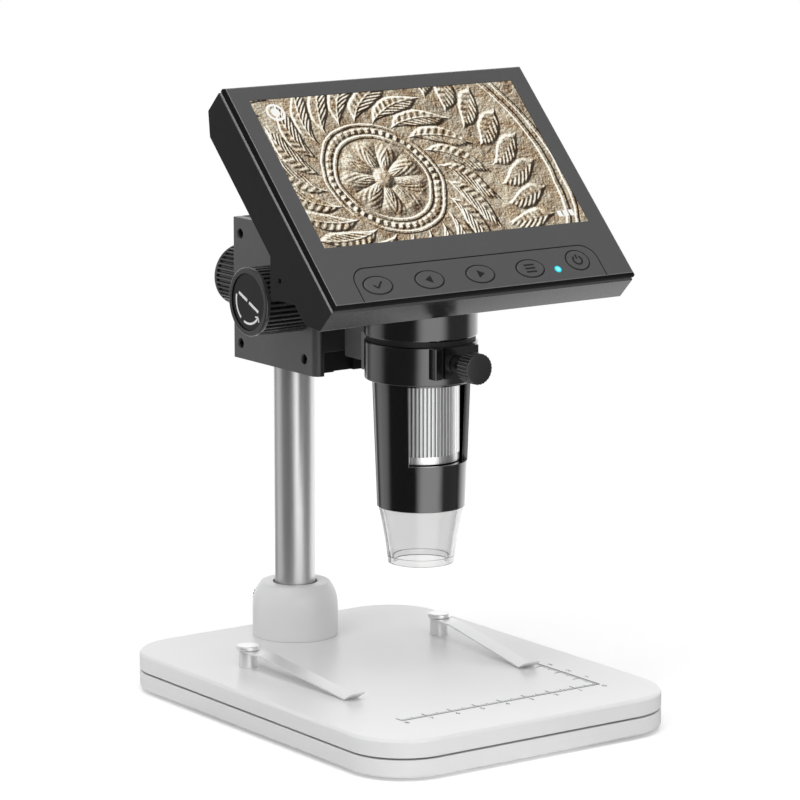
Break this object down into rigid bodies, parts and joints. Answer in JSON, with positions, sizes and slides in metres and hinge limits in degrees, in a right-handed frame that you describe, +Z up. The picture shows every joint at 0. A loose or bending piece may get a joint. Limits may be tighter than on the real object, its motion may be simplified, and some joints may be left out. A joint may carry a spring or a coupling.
{
  "type": "lcd digital microscope",
  "caption": "Desktop digital microscope: tilted display head on a focusing barrel with a clear tip, held by a ring and geared block on a steel column and white clip base.",
  "frame": {"origin": "middle of the whole footprint, on the surface that the rubber feet stand on", "axes": "+Z up along the column, +Y to the back, +X to the right as seen from the front"},
  "size_m": [0.12, 0.1736, 0.2108],
  "materials": {
    "white_shell": "satin white moulded plastic",
    "ballast_steel": "plain plate",
    "foot_rubber": "matt",
    "screw_steel": "zinc plated",
    "column_steel": "polished tube",
    "clip_steel": "plated spring steel",
    "black_metal": "black anodised, fine satin",
    "black_knob": "ribbed black plastic",
    "black_screw": "blackened",
    "sleeve_plastic": "low friction liner",
    "brass": "turned",
    "shaft_steel": "ground",
    "gloss_black": "polished black plastic",
    "housing_black": "fine textured black plastic",
    "fascia_grey": "smooth satin dark grey face with glossy edge",
    "button_grey": "satin dark grey",
    "display": "lit picture under glass",
    "display_back": "pressed tray",
    "board_green": "circuit board",
    "chip_black": "moulded packages",
    "cell_foil": "foil pouch",
    "port_steel": "pressed shell",
    "light_lens": "lit cyan lens",
    "white_led": "white light chips",
    "clear_plastic": "clear acrylic",
    "lens_glass": "coated glass",
    "silver_wheel": "metallised silver ribs",
    "cable_film": "flat film cable"
  },
  "bodies": {
    "stand": {"base_bottom_shell": "white_shell", "base_top_shell": "white_shell", "base_weight": "ballast_steel", "base_feet": "foot_rubber", "base_screws": "screw_steel", "column_socket": "white_shell", "column": "column_steel", "column_cap": "black_knob", "column_bolt": "screw_steel", "clip_posts": "clip_steel"},
    "left_clip": {"left_clip": "clip_steel"},
    "right_clip": {"right_clip": "clip_steel"},
    "socket_screw": {"socket_screw": "black_knob"},
    "lift_block": {"lift_block": "black_metal", "left_side_plate": "black_metal", "right_side_plate": "black_metal", "side_plate_screws": "black_screw", "column_sleeve": "sleeve_plastic", "shaft_bushes": "brass", "clamp_shoe": "brass"},
    "lock_knob": {"lock_knob": "black_knob", "lock_stud": "shaft_steel"},
    "carriage": {"support_arm": "black_metal", "focus_rack": "brass", "clamp_ring": "gloss_black", "arm_screws": "black_screw"},
    "focus_knobs": {"left_focus_knob": "black_knob", "right_focus_knob": "black_knob", "knob_discs": "black_knob", "pinion_shaft": "shaft_steel", "focus_pinion": "brass"},
    "clamp_screw": {"clamp_screw": "black_knob"},
    "microscope": {"front_fascia": "fascia_grey", "rear_housing": "housing_black", "neck_collar": "gloss_black", "barrel_shell": "gloss_black", "display_panel": "display", "display_frame": "display_back", "main_board": "board_green", "battery": "cell_foil", "button_board": "board_green", "tact_switches": "chip_black", "usb_socket": "port_steel", "card_socket": "port_steel", "housing_screws": "black_screw", "status_led": "light_lens", "clear_cap": "clear_plastic", "light_board": "board_green", "light_leds": "white_led", "sensor_board": "board_green", "swivel_washer": "sleeve_plastic", "camera_cable": "cable_film"},
    "focus_wheel": {"focus_wheel": "silver_wheel"},
    "lens_carrier": {"lens_carrier": "chip_black", "lens_glass": "lens_glass"},
    "select_button": {"select_button": "button_grey"},
    "left_button": {"left_button": "button_grey"},
    "right_button": {"right_button": "button_grey"},
    "menu_button": {"menu_button": "button_grey"},
    "power_button": {"power_button": "button_grey"}
  },
  "joints": [
    {"name": "lift_slide", "type": "slide", "parent": "stand", "child": "lift_block", "axis": [0, 0, 1], "range_m": [-0.025, 0.028]},
    {"name": "carriage_slide", "type": "slide", "parent": "lift_block", "child": "carriage", "axis": [0, 0, 1], "range_m": [-0.008, 0.008]},
    {"name": "focus_knob_turn", "type": "hinge", "parent": "lift_block", "child": "focus_knobs", "pos_m": [0, 0.02885, 0.1362], "axis": [1, 0, 0], "range_deg": [-96, 96]},
    {"name": "lock_knob_turn", "type": "hinge", "parent": "lift_block", "child": "lock_knob", "pos_m": [0, 0.06785, 0.1352], "axis": [0, 1, 0], "range_deg": [0, 270]},
    {"name": "clamp_screw_turn", "type": "hinge", "parent": "carriage", "child": "clamp_screw", "pos_m": [0, -0.04115, 0.1218], "axis": [0, -1, 0], "range_deg": [0, 270]},
    {"name": "socket_screw_turn", "type": "hinge", "parent": "stand", "child": "socket_screw", "pos_m": [0, 0.06835, 0.0232], "axis": [0, 1, 0], "range_deg": [0, 270]},
    {"name": "microscope_swivel", "type": "hinge", "parent": "carriage", "child": "microscope", "pos_m": [0, -0.02115, 0.1274], "axis": [0, 0, 1], "range_deg": [-35, 35]},
    {"name": "focus_wheel_turn", "type": "hinge", "parent": "microscope", "child": "focus_wheel", "pos_m": [0, -0.02115, 0.1002], "axis": [0, 0, 1], "range_deg": [-150, 150]},
    {"name": "lens_travel", "type": "slide", "parent": "microscope", "child": "lens_carrier", "axis": [0, 0, 1], "range_m": [-0.003, 0.003]},
    {"name": "left_clip_swing", "type": "hinge", "parent": "stand", "child": "left_clip", "pos_m": [-0.0396, 0.02295, 0.0192], "axis": [0, 0, 1], "range_deg": [-20, 30]},
    {"name": "right_clip_swing", "type": "hinge", "parent": "stand", "child": "right_clip", "pos_m": [0.0396, 0.02295, 0.0192], "axis": [0, 0, 1], "range_deg": [-30, 20]},
    {"name": "select_press", "type": "slide", "parent": "microscope", "child": "select_button", "axis": [0, 0.7071, -0.7071], "range_m": [0, 0.0006], "stiffness_N_per_m": 300, "springref_m": -0.002},
    {"name": "left_press", "type": "slide", "parent": "microscope", "child": "left_button", "axis": [0, 0.7071, -0.7071], "range_m": [0, 0.0006], "stiffness_N_per_m": 300, "springref_m": -0.002},
    {"name": "right_press", "type": "slide", "parent": "microscope", "child": "right_button", "axis": [0, 0.7071, -0.7071], "range_m": [0, 0.0006], "stiffness_N_per_m": 300, "springref_m": -0.002},
    {"name": "menu_press", "type": "slide", "parent": "microscope", "child": "menu_button", "axis": [0, 0.7071, -0.7071], "range_m": [0, 0.0006], "stiffness_N_per_m": 300, "springref_m": -0.002},
    {"name": "power_press", "type": "slide", "parent": "microscope", "child": "power_button", "axis": [0, 0.7071, -0.7071], "range_m": [0, 0.0006], "stiffness_N_per_m": 300, "springref_m": -0.002}
  ],
  "couplings": [
    {"joint": "focus_knob_turn", "follows": "carriage_slide", "rad_per_m": -208.33},
    {"joint": "focus_wheel_turn", "follows": "lens_travel", "rad_per_m": 872.66}
  ]
}
